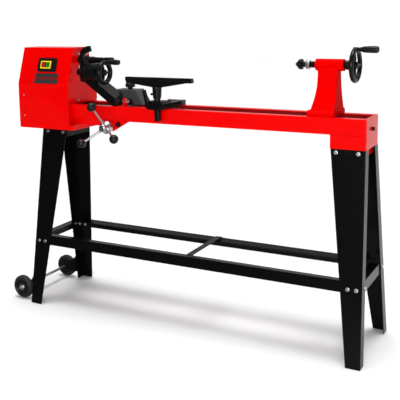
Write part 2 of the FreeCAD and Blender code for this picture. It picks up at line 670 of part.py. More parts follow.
axle = rod("axle_rod", "axleRadius", "2 * wheelY + 46",
           (x_from_wall("wheelX"), "-wheelY - 23", "wheelZ"), "+Y")
axle_heads = [hexagon(f"axle_nut_{name}", 10, 7,
                      (x_from_wall("wheelX"), f"{side} * (wheelY + wheelWide / 2 + 4.5) - 3.5", "wheelZ"),
                      "+Y")
              for name, side in SIDES.items()]
node("wheel_axle", fuse("axle", axle, *axle_heads))

TREAD = [(-12, "axleRadius + shaftGap"), (-12, 14), (-8, 16), (-8, 32), (-12, 35), (-12, 41),
         (-6, "wheelRadius"), (6, "wheelRadius"), (12, 41), (12, 35), (8, 32), (8, 16), (12, 14),
         (12, "axleRadius + shaftGap")]
for side_name, side in SIDES.items():
    node(f"transport_wheel_{side_name}",
         turned(f"wheel_{side_name}", TREAD, (x_from_wall("wheelX"), f"{side} * wheelY", "wheelZ"), "+Y"))

# --- tailstock -----------------------------------------------------------------------

GLIDE = 0.3
tail_foot = slab("tail_foot", "YZ_Plane",
                 [("-tailHalf", f"bedTop + {GLIDE}"), ("tailHalf", f"bedTop + {GLIDE}"),
                  ("tailHalf", "bedTop + 14"), ("tailHalf - 8", "bedTop + 20"),
                  ("8 - tailHalf", "bedTop + 20"), ("-tailHalf", "bedTop + 14")],
                 "tailLong", (x_from_wall("tailX"), 0, 0))
tail_flank = slab("tail_flank", "YZ_Plane",
                  [("8 - tailHalf", "bedTop + 18"), ("tailHalf - 8", "bedTop + 18"),
                   ("barrelRadius + 3", f"{AXIS_Z} - 8"), ("-barrelRadius - 3", f"{AXIS_Z} - 8")], 90,
                  (x_from_wall("tailX + 7"), 0, 0), arcs={1: (330, True), 3: (330, True)})
tail_face = slab("tail_face", "XZ_Plane",
                 [("tailX + 9", "bedTop + 18"), ("tailX + tailLong - 2", "bedTop + 18"),
                  ("tailX + tailLong - 2", AXIS_Z), ("tailX + 24", AXIS_Z)], 140, ("wall", 70, 0),
                 arcs={3: (420, True)})
tail_column = common("tail_column", tail_flank, tail_face)
barrel = rod("tail_barrel", "barrelRadius", 101, (x_from_wall(1013), 0, AXIS_Z), "+X")
tongue = box("tail_tongue", ("tailLong - 20", "2 * (bedHalf - bedLip) - 1", 3),
             (x_from_wall("tailX + 10"), "0.5 - bedHalf + bedLip", f"bedTop - 3 + {GLIDE}"))
tail_bores = [rod("quill_way", "quillRadius + shaftGap", 97, (x_from_wall(1005), 0, AXIS_Z), "+X"),
              rod("screw_way", "6 + shaftGap", 30, (x_from_wall(1090), 0, AXIS_Z), "+X"),
              rod("tail_bolt_way", 6.3, 60, (x_from_wall(1050), 0, "bedTop - 20"), "+Z"),
              box("nut_pocket", (26, 24, 22), (x_from_wall(1037), -12, "bedTop + 39.5"))]
node("tailstock_body", cut("tail_casting", fuse("tail_solid", tail_foot, tail_column, barrel, tongue),
                           *tail_bores))


CLAMP_Z = "bedTop - railSheet - 10.5"


def clamp_under(name, x, nut_z):
    """Plate under the rails' lips, drawn up by a bolt with a nut on top."""
    plate = box(name + "_plate", (50, "2 * bedHalf - 20", 10), (f"{x} - 25", "10 - bedHalf", CLAMP_Z))
    stud = rod(name + "_stud", 6, f"{nut_z} - bedTop + railSheet + 12", (x, 0, CLAMP_Z))
    nut = hexagon(name + "_nut", 10.5, 9, (x, 0, nut_z))
    return fuse(name, plate, stud, nut)


node("tailstock_clamp", clamp_under("tail_clamp", x_from_wall(1050), "bedTop + 40"))

quill_tube = cut("quill", rod("quill_outer", "quillRadius", 113, (x_from_wall(975), 0, AXIS_Z), "+X"),
                 rod("quill_inner", "quillBore", 116, (x_from_wall(974), 0, AXIS_Z), "+X"))
quill_collar = cut("quill_collar", rod("collar_outer", 16.5, 14, (x_from_wall(976), 0, AXIS_Z), "+X"),
                   rod("collar_inner", "quillRadius", 14, (x_from_wall(976), 0, AXIS_Z), "+X"))
node("tailstock_quill", group("quill_pieces", quill_tube, quill_collar))
node("live_centre", turned("live_centre_turned", [
    (934, 0), (936, 4), (950, 18), (953, 19), (961, 19), (964, 14), (964, 10), (974.5, 10),
    (974.5, "quillBore - shaftGap"), (1030, "quillBore - 0.6"), (1030, 0)], ("wall", 0, AXIS_Z)))


def handwheel(name, x, y, z, radius, rim, hub):
    """Dished three-spoke wheel with a crank pin at its top; hub is (start, end) along x."""
    ring_x = x_from_wall(x)
    pieces = [ring(name + "_rim", f"{radius} - {rim}", rim, (ring_x, y, z), "+X"),
              rod(name + "_hub", 14, hub[1] - hub[0], (x_from_wall(hub[0]), y, z), "+X"),
              cone(name + "_boss", 17, 12, 12, (x_from_wall(hub[0]), y, z), "+X")]
    for index in range(3):
        turn = FreeCAD.Rotation(FreeCAD.Vector(1, 0, 0), index * 120 - 90)
        pieces.append(rod(f"{name}_spoke{index}", rim * 0.75, f"{radius} - {rim}", (ring_x, y, z), turn))
    pin_z = f"{z} + {radius} - {rim}"
    pieces.append(rod(name + "_crank_boss", 9, 18, (x_from_wall(x - 7), y, pin_z), "+X"))
    pieces.append(rod(name + "_pin", 4, 70, (ring_x, y, pin_z), "+X"))
    return fuse(name, *pieces)


tail_wheel = handwheel("tail_wheel", 1153, 0, AXIS_Z, "tailWheel", 7.5, (1115, 1159))
tail_screw = rod("tail_screw", 6, 70, (x_from_wall(1050), 0, AXIS_Z), "+X")
node("tailstock_handwheel", fuse("tail_wheel_screw", tail_wheel, tail_screw))
GRIP = [(12, "4 + shaftGap"), (12, 7), (30, 11.5), (60, 12.5), (76, 12.5), (80, 10), (80, "4 + shaftGap")]
node("tailstock_grip", turned("tail_grip", GRIP, (x_from_wall(1153), 0, f"{AXIS_Z} + tailWheel - 7.5")))

# --- feed unit beside the headstock ------------------------------------------------------

arm_form = slab("arm_form", "XZ_Plane",
                [(57, 91.5), (112, 91.5), (205, 31), (205, GLIDE), (188, GLIDE)], 78, ("wall", 8, "bedTop"))
arm_bevel = box("arm_bevel", (60, 120, 80), (x_from_wall(205), -60, "bedTop - 5"),
                FreeCAD.Rotation(FreeCAD.Vector(0, 0, 1), 14))
node("feed_arm", cut("arm", arm_form, arm_bevel))
saddle_form = slab("saddle_form", "XZ_Plane", [(150, GLIDE), (284, GLIDE), (248, 58), (150, 58)], 66,
                   ("wall", 76, "bedTop"))
saddle_arch = rod("saddle_arch", 17, 100, (x_from_wall(222), 0, "bedTop + 3"), "+Y")
saddle_clamp = box("saddle_clamp", (50, "2 * bedHalf - 20", 10), (x_from_wall(184), "10 - bedHalf", CLAMP_Z))
saddle_knob_hole = rod("saddle_knob_hole", "5 + shaftGap", 90, (x_from_wall(209), 34, "bedTop - 20"))
node("feed_saddle", group("carriage_base", cut("saddle", saddle_form, saddle_arch, saddle_knob_hole),
                          cut("saddle_nut_plate", saddle_clamp, saddle_knob_hole)))
knob_turned = [(-73, 0), (-73, 5), (1, 5), (1, 9), (7, 9), (8, 19), (12, 21), (22, 21), (28, 15), (28, 0)]
node("saddle_knob", turned("knob", knob_turned, (x_from_wall(209), 34, "bedTop + 58"), "+Z"))

feed_pieces = [
    rod("feed_tube", 37, 62, (x_from_wall(64), "feedY", "feedZ"), "+X"),
    box("feed_foot", (46, 36, 30), (x_from_wall(64), "feedY - 12", "bedTop + 91.5")),
    box("feed_post", (26, 30, 104), (x_from_wall(40), "feedY - 15", "feedZ - 38")),
    rod("feed_neck", 22, 30, (x_from_wall(40), "feedY", "feedZ"), "+X"),
]
feed_bores = [rod("feed_way", "14 + shaftGap", 75, (x_from_wall(39), "feedY", "feedZ"), "+X"),
              rod("feed_screw_way", "6 + shaftGap", 40, (x_from_wall(100), "feedY", "feedZ"), "+X"),
              rod("lever_pin_way", "5 + shaftGap", 40, (x_from_wall(53), "feedY - 20", "feedZ + 52"), "+Y")]
node("feed_barrel", cut("feed_casting", fuse("feed_solid", *feed_pieces), *feed_bores))
node("feed_quill", cut("feed_ram", rod("feed_ram_outer", 14, 80, (x_from_wall(22), "feedY", "feedZ"), "+X"),
                       rod("feed_ram_bore", 7, 70, (x_from_wall(40), "feedY", "feedZ"), "+X")))
feed_wheel = handwheel("feed_wheel", 150, "feedY", "feedZ", "feedWheel", 6.5, (126.5, 156))
feed_screw = rod("feed_screw", 6, 40, (x_from_wall(87), "feedY", "feedZ"), "+X")
node("feed_handwheel", fuse("feed_wheel_screw", feed_wheel, feed_screw))
FEED_GRIP = [(12, "4 + shaftGap"), (12, 7), (28, 10), (54, 11), (68, 11), (72, 9), (72, "4 + shaftGap")]
node("feed_grip", turned("feed_grip_turned", FEED_GRIP,
                         (x_from_wall(150), "feedY", "feedZ + feedWheel - 6.5")))

lever_blade = slab("lever_blade", "XZ_Plane", [(-12, 4), (12, -2), (22, 26), (52, 34), (46, 56), (4, 38)], 11,
                   (x_from_wall(53), "feedY - 15.4", "feedZ + 52"),
                   arcs={1: (40, True), 4: (60, False)})
lever_hub = rod("lever_hub", 14, 13, (x_from_wall(53), "feedY - 15.4", "feedZ + 52"), "-Y")
lever_pin = rod("lever_pin", 5, 24, (x_from_wall(53), "feedY - 18", "feedZ + 52"), "+Y")
node("clamp_lever", fuse("lever", lever_blade, lever_hub, lever_pin))

# --- three-spoke capstan under the bed ------------------------------------------------------

hub_body = turned("capstan_turned", [
    (-134, 0), (-134, 12), (-130, 15), (-114, 19), (-104, 26), (-88, 26), (-84, 20), (-80.5, 20),
    (-80.5, 8), (-48, 8), (-48, 0)], ("wall + capstanX", 0, "capstanZ"), "+Y")
capstan_parts, knobs = [hub_body], []
for index in range(3):
    angle = math.radians(100 + 120 * index)
    root = FreeCAD.Vector(12 * math.cos(angle), -112, 12 * math.sin(angle))
    tip = FreeCAD.Vector(math.cos(angle), 0, math.sin(angle)) * VALUES["capstanReach"]
    tip += FreeCAD.Vector(0, -174, 0)
    run = tip - root
    turn = FreeCAD.Rotation(FreeCAD.Vector(0, 0, 1), run)
    capstan_parts.append(rod(f"capstan_rod{index}", 4.5, run.Length - 16,
                             (f"wall + capstanX + {root.x:.3f}", root.y, f"capstanZ + {root.z:.3f}"), turn))
    sphere = ball(f"knob_ball{index}", 18,
                  (f"wall + capstanX + {tip.x:.3f}", tip.y, f"capstanZ + {tip.z:.3f}"))
    flat = run.normalize() * -16 + tip
    knob_cut = rod(f"knob_cut{index}", 20, 10,
                   (f"wall + capstanX + {flat.x:.3f}", flat.y, f"capstanZ + {flat.z:.3f}"),
                   FreeCAD.Rotation(FreeCAD.Vector(0, 0, -1), run))
    knobs.append(cut(f"knob_solid{index}", sphere, knob_cut))
node("capstan_hub", fuse("capstan", *capstan_parts))
node("capstan_knobs", group("knobs", *knobs))

# --- banjo and tool rest -----------------------------------------------------------------

BANJO_Z = f"bedTop + {GLIDE}"
boss = box("banjo_boss", (66, 52, 34), (x_from_wall(383), -122, BANJO_Z))
tongue_plate = box("banjo_plate", (56, 150, 20), (x_from_wall(388), -75, BANJO_Z))
banjo_web = slab("banjo_web", "YZ_Plane", [(-75, 20), (-34, 20), (-75, 33)], 40,
                 (x_from_wall(396), 0, BANJO_Z))
banjo_slot = box("banjo_slot", (14, 70, 80), (x_from_wall(406), -25, "bedTop - 10"))
banjo_slot_ends = [rod(f"banjo_slot_end{y}", 7, 80, (x_from_wall(413), y, "bedTop - 10")) for y in (-25, 45)]
stem_way = rod("stem_way", "stemRadius + shaftGap", 80, ("wall + stemX", "stemY", "bedTop - 10"))
cam_way = rod("cam_way", "5 + shaftGap", 40, (x_from_wall(440), -130, "bedTop + 12"), "+Y")
lock_way = rod("lock_way", "4 + shaftGap", 32, (x_from_wall(391), -130, "bedTop + 16"), "+Y")
node("banjo", cut("banjo_casting", fuse("banjo_solid", boss, tongue_plate, banjo_web),
                  banjo_slot, *banjo_slot_ends, stem_way, cam_way, lock_way))
node("banjo_clamp", clamp_under("banjo_bolt", x_from_wall(413), "bedTop + 20.3"))


def swing_lever(name, x, z, angle, long, grip_from, pin):
    """A clamp lever on the boss's front face: hub, pin and a flat handle at an angle above +X."""
    turn = FreeCAD.Rotation(FreeCAD.Vector(0, 1, 0), -angle)
    spot = (x_from_wall(x), -122.4, z)
    handle = slab(name + "_handle", "XZ_Plane",
                  [(0, -5), (grip_from, -4), (grip_from + 4, -8), (long, -7),
                   (long, 7), (grip_from, 8), (0, 6)],
                  9, (spot[0], spot[1] - 2, z), turn)
    return fuse(name, handle, rod(name + "_hub", 9, 12, spot, "-Y"),
                rod(name + "_pin", pin, 24, (spot[0], -124, z), "+Y"))


node("banjo_lever", swing_lever("cam_lever", 440, "bedTop + 12", 14, 104, 34, 5))
node("rest_lever", swing_lever("lock_lever", 391, "bedTop + 16", 104, 62, 12, 4))

blade = slab("rest_blade", "XZ_Plane",
             [(-138, 0), (153, 0), (153, -18), (126, -19), (18, -38), (-18, -38), (-126, -24), (-138, -24)],
             8, ("wall + stemX", "stemY + 4", "restTop"))
ledge = slab("rest_ledge", "YZ_Plane", [(-7, 0), (7, 0), (14, -16), (4, -18), (-4, -18), (-9, -10)], 291,
             ("wall + stemX - 138", "stemY", "restTop"))
neck = cone("rest_neck", 15.5, 18.5, 44, ("wall + stemX", "stemY", "restTop - 80"))
neck_bore = rod("rest_neck_bore", "stemRadius + shaftGap", 40, ("wall + stemX", "stemY", "restTop - 81"))
neck_screw = hexagon("rest_screw", 5, 6, ("wall + stemX - 12", "stemY - 17", "restTop - 62"), "-Y")
node("tool_rest", cut("rest", fuse("rest_solid", blade, ledge, neck, neck_screw), neck_bore))
node("rest_post", rod("post", "stemRadius", 124, ("wall + stemX", "stemY", "restTop - 167")))

# --- bolts of the bed ---------------------------------------------------------------------

cap_bolt = fuse("cap_bolt", hexagon("cap_bolt_head", 9, 9, (x_from_wall("bedEnd + 10"), 0, CAP_BOLT_Z), "+X"),
                rod("cap_bolt_shank", "boltRadius", 20, (x_from_wall("bedEnd - 10"), 0, CAP_BOLT_Z), "+X"))
stop_bolt = fuse("stop_bolt",
                 hexagon("stop_bolt_head", 8, 12, (x_from_wall(251), STOP_Y, "bedTop + 20"), "+X"),
                 rod("stop_bolt_shank", "boltRadius", 16, (x_from_wall(235), STOP_Y, "bedTop + 20"), "+X"))
hanger_head = hexagon("hanger_bolt_head", 12, 9, (x_from_wall(222), "-bedHalf", HANGER_BOLT_Z), "-Y")
hanger_shank = rod("hanger_bolt_shank", "boltRadius + 1", 14,
                   (x_from_wall(222), "14 - bedHalf", HANGER_BOLT_Z), "-Y")
hanger_bolt = fuse("hanger_bolt", hanger_head, hanger_shank)
node("plated_fasteners", group("all_plated_fasteners", *bolts, *screws, stop_bolt))
node("black_bolts", group("all_black_bolts", cap_bolt, hanger_bolt))

# --- check and write -----------------------------------------------------------------------

doc.recompute()
failed = [o.Label for o in doc.Objects if "Invalid" in o.State or "Error" in o.State]
assert not failed, f"failed objects: {failed}"
os.makedirs("parts", exist_ok=True)
for name, obj in nodes.items():
    shape = obj.Shape
    assert not shape.isNull() and shape.isValid() and shape.Volume > 0, f"bad shape: {name}"
    shape.exportStep(f"parts/{name}.step")
whole = Part.makeCompound([obj.Shape for obj in nodes.values()])
print(len(nodes), "nodes, box", whole.BoundBox)
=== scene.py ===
import json
import math

import bmesh
import bpy
from mathutils import Matrix, Vector

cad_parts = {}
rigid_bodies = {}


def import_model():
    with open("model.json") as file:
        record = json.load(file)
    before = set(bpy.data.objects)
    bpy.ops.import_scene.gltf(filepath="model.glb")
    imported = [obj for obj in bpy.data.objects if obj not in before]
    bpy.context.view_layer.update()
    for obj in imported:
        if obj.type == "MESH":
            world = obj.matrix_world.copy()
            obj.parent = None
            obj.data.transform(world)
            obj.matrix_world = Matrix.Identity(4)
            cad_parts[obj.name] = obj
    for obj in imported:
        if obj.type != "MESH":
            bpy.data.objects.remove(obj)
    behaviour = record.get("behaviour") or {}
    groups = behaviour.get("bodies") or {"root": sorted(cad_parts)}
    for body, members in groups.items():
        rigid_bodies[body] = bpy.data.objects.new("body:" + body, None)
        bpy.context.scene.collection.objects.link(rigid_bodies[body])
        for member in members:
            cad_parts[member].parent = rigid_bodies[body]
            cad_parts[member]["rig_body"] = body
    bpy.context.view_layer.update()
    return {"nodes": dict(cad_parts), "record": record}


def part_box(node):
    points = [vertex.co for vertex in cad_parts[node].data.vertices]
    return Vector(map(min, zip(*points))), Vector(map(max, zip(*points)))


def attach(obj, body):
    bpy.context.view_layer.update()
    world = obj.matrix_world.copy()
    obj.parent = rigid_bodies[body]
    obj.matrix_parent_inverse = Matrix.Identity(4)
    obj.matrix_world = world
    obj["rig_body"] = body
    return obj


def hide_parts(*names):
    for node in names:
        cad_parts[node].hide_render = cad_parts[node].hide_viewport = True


# Looks of the free-standing wood lathe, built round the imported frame.
# Lengths below are millimetres in the frame's axes, with x counted from the cabinet's right wall.

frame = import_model()
nodes = frame["nodes"]
slots = {item["node"]: item["material_slot"] for item in frame["record"]["subparts"]}

MM = 0.001
WALL = -474
BED_TOP = 837
AXIS_Z = 1013
RIGHT = Vector((1, 0, 0))
REAR = Vector((0, 1, 0))
UP = Vector((0, 0, 1))


def at(x, y, z):
    """A point given from the cabinet's right wall, in metres of the frame."""
    return Vector(((WALL + x) * MM, y * MM, z * MM))


# --- materials -------------------------------------------------------------------

def wire(tree, source, output, target, entry):
    tree.links.new(source.outputs[output], target.inputs[entry])


def noise(tree, scale, detail=4.0, stretch=None):
    """Noise over the object's own coordinates, in features per metre."""
    place = tree.nodes.new("ShaderNodeTexCoord")
    texture = tree.nodes.new("ShaderNodeTexNoise")
    texture.inputs["Scale"].default_value = scale
    texture.inputs["Detail"].default_value = detail
    if stretch:
        mapping = tree.nodes.new("ShaderNodeMapping")
        mapping.inputs["Scale"].default_value = stretch
        wire(tree, place, "Object", mapping, "Vector")
        wire(tree, mapping, "Vector", texture, "Vector")
    else:
        wire(tree, place, "Object", texture, "Vector")
    return texture


def finish_of(name, colour, rough, metal=0.0, specular=0.5, coat=0.0, mottle=0.06, patch=30.0,
              grain=600.0, relief=0.05, stretch=None):
    """A finish: mottled colour, uneven roughness and a fine relief. relief is in millimetres."""
    made = bpy.data.materials.new(name)
    made.use_nodes = True
    tree = made.node_tree
    shader = tree.nodes["Principled BSDF"]
    shader.inputs["Metallic"].default_value = metal
    shader.inputs["Specular IOR Level"].default_value = specular
    shader.inputs["Coat Weight"].default_value = coat
    shader.inputs["Coat Roughness"].default_value = 0.06
    patches = noise(tree, patch, 5.0)
    ramp = tree.nodes.new("ShaderNodeValToRGB")
    ramp.color_ramp.elements[0].position = 0.3
    ramp.color_ramp.elements[1].position = 0.7
    ramp.color_ramp.elements[0].color = (*[c * (1 - mottle) for c in colour], 1)
    ramp.color_ramp.elements[1].color = (*[min(1.0, c * (1 + mottle)) for c in colour], 1)
    wire(tree, patches, "Fac", ramp, "Fac")
    wire(tree, ramp, "Color", shader, "Base Color")
    smears = noise(tree, patch * 2.7, 6.0, stretch)
    spread = tree.nodes.new("ShaderNodeMapRange")
    spread.inputs["To Min"].default_value = rough[0]
    spread.inputs["To Max"].default_value = rough[1]
    wire(tree, smears, "Fac", spread, "Value")
    wire(tree, spread, "Result", shader, "Roughness")
    bump = tree.nodes.new("ShaderNodeBump")
    bump.inputs["Strength"].default_value = 0.6
    bump.inputs["Distance"].default_value = relief * MM
    wire(tree, noise(tree, grain, 3.0, stretch), "Fac", bump, "Height")
    wire(tree, bump, "Normal", shader, "Normal")
    return made


def label_finish():
    """A printed plate: two dark bars with a dark red band between them."""
    made = finish_of("label", (0.03, 0.03, 0.03), (0.3, 0.4), relief=0.01)
    tree = made.node_tree
    low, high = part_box("label_plate")
    place = tree.nodes.new("ShaderNodeTexCoord")
    split = tree.nodes.new("ShaderNodeSeparateXYZ")
    height = tree.nodes.new("ShaderNodeMapRange")
    height.inputs["From Min"].default_value = low.z
    height.inputs["From Max"].default_value = high.z
    bands = tree.nodes.new("ShaderNodeValToRGB")
    bands.color_ramp.interpolation = "CONSTANT"
    grey, red = (0.028, 0.024, 0.024, 1), (0.16, 0.004, 0.004, 1)
    stops = [(0.0, red), (0.04, grey), (0.42, red), (0.62, grey), (0.96, red)]
    for position, colour in stops[2:]:
        bands.color_ramp.elements.new(position)
    for element, (position, colour) in zip(bands.color_ramp.elements, stops):
        element.position = position
        element.color = colour
    wire(tree, place, "Object", split, "Vector")
    wire(tree, split, "Z", height, "Value")
    wire(tree, height, "Result", bands, "Fac")
    wire(tree, bands, "Color", tree.nodes["Principled BSDF"], "Base Color")
    return made


FINISH = {
    "red_paint": finish_of("red_paint", (0.7, 0.0, 0.0), (0.16, 0.22), specular=0.1,
                           mottle=0.03, grain=420, relief=0.008),
    "red_casting": finish_of("red_casting", (0.66, 0.0, 0.0), (0.45, 0.55), specular=0.01, mottle=0.05,
                             patch=60, grain=500, relief=0.12),
    # Painted shade: a darker red for the bed rails' inner faces, standing in for the shade inside the bed;
    # the real rails carry the same red paint.
    "red_painted_shade": finish_of("red_painted_shade", (0.24, 0.004, 0.004), (0.35, 0.45), specular=0.1, mottle=0.1,
                            grain=420, relief=0.02),
    "black_paint": finish_of("black_paint", (0.0025, 0.0025, 0.0025), (0.2, 0.28), specular=0.1,
                             mottle=0.15, grain=900, relief=0.012),
    "black_iron": finish_of("black_iron", (0.003, 0.003, 0.003), (0.24, 0.34), specular=0.2, mottle=0.2,
                            patch=60, grain=450, relief=0.05),
    "grey_iron": finish_of("grey_iron", (0.05, 0.05, 0.051), (0.4, 0.55), metal=0.2, mottle=0.12,
                           patch=80, grain=500, relief=0.12),
    "plated_steel": finish_of("plated_steel", (0.52, 0.52, 0.53), (0.24, 0.38), metal=1.0, grain=800,
                              relief=0.03),
    "steel": finish_of("steel", (0.62, 0.62, 0.63), (0.2, 0.34), metal=1.0, grain=900, relief=0.03,
                       stretch=(12, 1, 1)),
    "black_plastic": finish_of("black_plastic", (0.006, 0.006, 0.006), (0.28, 0.4), specular=0.25,
                               grain=1200, relief=0.03),
    "yellow_plastic": finish_of("yellow_plastic", (0.85, 0.62, 0.01), (0.3, 0.4), grain=1200, relief=0.03),
    "red_plastic": finish_of("red_plastic", (0.32, 0.006, 0.005), (0.25, 0.35), grain=1200, relief=0.02),
    "green_plastic": finish_of("green_plastic", (0.008, 0.13, 0.02), (0.25, 0.35), grain=1200,
                               relief=0.02),
    "rubber": finish_of("rubber", (0.014, 0.014, 0.014), (0.55, 0.75), specular=0.35, mottle=0.2,
                        grain=700, relief=0.12),
    "motor_alloy": finish_of("motor_alloy", (0.34, 0.35, 0.36), (0.35, 0.5), metal=0.8, grain=500,
                             relief=0.15),
    "label": label_finish(),
}


# --- mesh helpers ------------------------------------------------------------------

def piece(name, bm, finish, body, stands_for=(), sharp=32, flat_faces=False):
    """An object from a finished bmesh, riding on a body and standing for CAD nodes."""
    bmesh.ops.remove_doubles(bm, verts=bm.verts, dist=1e-7)
    bmesh.ops.recalc_face_normals(bm, faces=bm.faces)
    mesh = bpy.data.meshes.new(name)
    bm.to_mesh(mesh)
    bm.free()
    for face in mesh.polygons:
        face.use_smooth = True
    mesh.set_sharp_from_angle(angle=math.radians(sharp))
    mesh.materials.append(FINISH[finish])
    made = bpy.data.objects.new(name, mesh)
    bpy.context.scene.collection.objects.link(made)
    if flat_faces:
        flatten = made.modifiers.new("flat_faces", "WEIGHTED_NORMAL")
        flatten.keep_sharp = True
        flatten.weight = 100
    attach(made, body)
    if stands_for:
        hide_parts(*stands_for)
    return made


def bent_edges(bm, shortest, folds):
    """Sharp edges at least `shortest` long: those between two wide faces, or the others."""
    wide_area = 0.0025
    blunt = math.radians(33)
    found = []
    for edge in bm.edges:
        if not edge.is_manifold or edge.calc_length() < shortest or edge.calc_face_angle(0) < blunt:
            continue
        if (min(face.calc_area() for face in edge.link_faces) > wide_area) == folds:
            found.append(edge)
    return found


def cleaned(node):
    """A CAD node's mesh as a bmesh, without doubled points and the edges inside its flat faces."""
    bm = bmesh.new()
    bm.from_mesh(nodes[node].data)
    bmesh.ops.remove_doubles(bm, verts=bm.verts, dist=2e-6)
    bmesh.ops.dissolve_limit(bm, angle_limit=math.radians(1), verts=bm.verts, edges=bm.edges)
    return bm


def softened(node, edge, fold=None, finish=None):
    """A CAD node again with its edges rounded by `edge`, and its folds, between wide faces, by `fold`."""
    shortest = 3.0
    bm = cleaned(node)
    for folds, width in ((True, fold or edge), (False, edge)):
        chosen = bent_edges(bm, shortest * MM, folds)
        if chosen:
            bmesh.ops.bevel(bm, geom=chosen, offset=width * MM, offset_type="OFFSET", segments=3,
                            profile=0.5, affect="EDGES", clamp_overlap=False)
    return piece(node + "_finished", bm, finish or slots[node], nodes[node]["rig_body"], (node,),
                 flat_faces=True)


def switch_plate(corner):
    """The switch's face plate again, with round corners across its leaning face."""
    rise, lean = 148, 48
    outward = Vector((0, -rise, lean)).normalized()
    low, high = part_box("switch_plate")
    bm = cleaned("switch_plate")
    chosen = []
    for edge in bm.edges:
        along = (edge.verts[0].co - edge.verts[1].co).normalized()
        spot = edge.verts[0].co.x
        if abs(along.dot(outward)) > 0.98 and min(spot - low.x, high.x - spot) < 0.5 * MM:
            chosen.append(edge)
    bmesh.ops.bevel(bm, geom=chosen, offset=corner * MM, offset_type="OFFSET", segments=8, profile=0.5,
                    affect="EDGES", clamp_overlap=True)
    bmesh.ops.bevel(bm, geom=bent_edges(bm, 1.5 * MM, False), offset=0.5 * MM, offset_type="OFFSET",
                    segments=2, profile=0.5, affect="EDGES", clamp_overlap=True)
    piece("switch_plate_finished", bm, "black_plastic", nodes["switch_plate"]["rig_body"], ("switch_plate",),
          flat_faces=True)


def eased(points, radius, steps=3):
    """A profile with each inner corner replaced by a small arc."""
    line = [Vector(p) for p in points]
    out = [line[0]]
    for before, corner, after in zip(line, line[1:], line[2:]):
        reach = min(radius, 0.45 * (before - corner).length, 0.45 * (after - corner).length)
        first = corner + (before - corner).normalized() * reach
        last = corner + (after - corner).normalized() * reach
        for step in range(steps + 1):
            t = step / steps
            out.append(first * (1 - t) ** 2 + corner * 2 * t * (1 - t) + last * t ** 2)
    return out + [line[-1]]


def lathe(bm, points, origin, axis=RIGHT, ease=0.6, steps=56, lobes=0, depth=0.0, lobed_from=0.0):
    """Turns a profile of (along, radius) points, in millimetres, about an axis.

    lobes waves the radii over lobed_from inward by the share depth.
    """
    turn = axis.to_track_quat("X", "Z")
    rings = []
    for along, radius in eased(points, ease):
        spots = []
        for i in range(steps):
            angle = 2 * math.pi * i / steps
            waved = radius
            if radius > lobed_from:
                waved *= 1 - depth * (0.5 - 0.5 * math.cos(lobes * angle))
            spots.append(Vector((along, waved * math.cos(angle), waved * math.sin(angle))) * MM)
        rings.append([bm.verts.new(origin + turn @ spot) for spot in spots])
    for one, two in zip(rings, rings[1:]):
        for i in range(steps):
            j = (i + 1) % steps
            bm.faces.new((one[i], one[j], two[j], two[i]))
    return rings


def ring(bm, centre, axis, radius, half_wide, half_deep, steps=96, sides=20):
    """A closed ring of oval section: half_wide along the axis, half_deep across it."""
    profile = [(half_wide * math.cos(a), radius + half_deep * math.sin(a))
               for a in (2 * math.pi * i / sides for i in range(sides))]
    lathe(bm, profile + profile[:1], centre, axis, ease=0.0, steps=steps)


def sweep(bm, path, sizes, side, sides=20):
    """An oval bar along a path of metre points. sizes are (half across `side`, half along it), in mm."""
    rings = []
    for index, point in enumerate(path):
        ahead = path[min(index + 1, len(path) - 1)] - path[max(index - 1, 0)]
        across = ahead.cross(side).normalized()
        along = across.cross(ahead).normalized()
        wide, deep = sizes[index]
        rings.append([bm.verts.new(point + (across * wide * math.cos(a) + along * deep * math.sin(a)) * MM)
                      for a in (2 * math.pi * i / sides for i in range(sides))])
    for one, two in zip(rings, rings[1:]):
        for i in range(sides):
            j = (i + 1) % sides
            bm.faces.new((one[i], one[j], two[j], two[i]))
    bm.faces.new(rings[0])
    bm.faces.new(rings[-1])


def hex_head(bm, origin, axis, radius, height, turn=0.0):
    """A six-sided head with its outer corners chamfered, standing on origin."""
    rotate = axis.to_track_quat("Z", "Y")
    flat = radius * math.cos(math.radians(30))
    low, corner, top = [], [], []
    for i in range(12):
        angle = math.radians(30 * i + turn)
        heading = Vector((math.cos(angle), math.sin(angle), 0))
        reach = radius if i % 2 == 0 else flat
        drop = radius * 0.13 if i % 2 == 0 else 0.02
        low.append(bm.verts.new(origin + rotate @ (heading * reach * MM)))
        corner.append(bm.verts.new(origin + rotate @ ((heading * reach + UP * (height - drop)) * MM)))
        top.append(bm.verts.new(origin + rotate @ ((heading * flat * 0.985 + UP * height) * MM)))
    for i in range(12):
        j = (i + 1) % 12
        bm.faces.new((low[i], low[j], corner[j], corner[i]))
        bm.faces.new((corner[i], corner[j], top[j], top[i]))
    bm.faces.new(top)
    bm.faces.new(low[::-1])


def washer(bm, origin, axis, radius, thick=1.2):
    lathe(bm, [(0, 2), (0, radius), (thick, radius), (thick, 2)], origin, axis, ease=0.35, steps=32)


def block(bm, low, high, round_by):
    """A box between two frame points with rounded edges."""
    made = bmesh.ops.create_cube(bm, size=1.0)
    size, middle = high - low, (high + low) / 2
    bmesh.ops.transform(bm, matrix=Matrix.Translation(middle) @ Matrix.Diagonal((*size, 1)),
                        verts=made["verts"])
    edges = dict.fromkeys(edge for vert in made["verts"] for edge in vert.link_edges)
    bmesh.ops.bevel(bm, geom=list(edges), offset=round_by * MM, segments=3, profile=0.5, affect="EDGES",
                    clamp_overlap=True)


# --- sheet metal and castings: the frame's own shapes with rounded edges ---------------

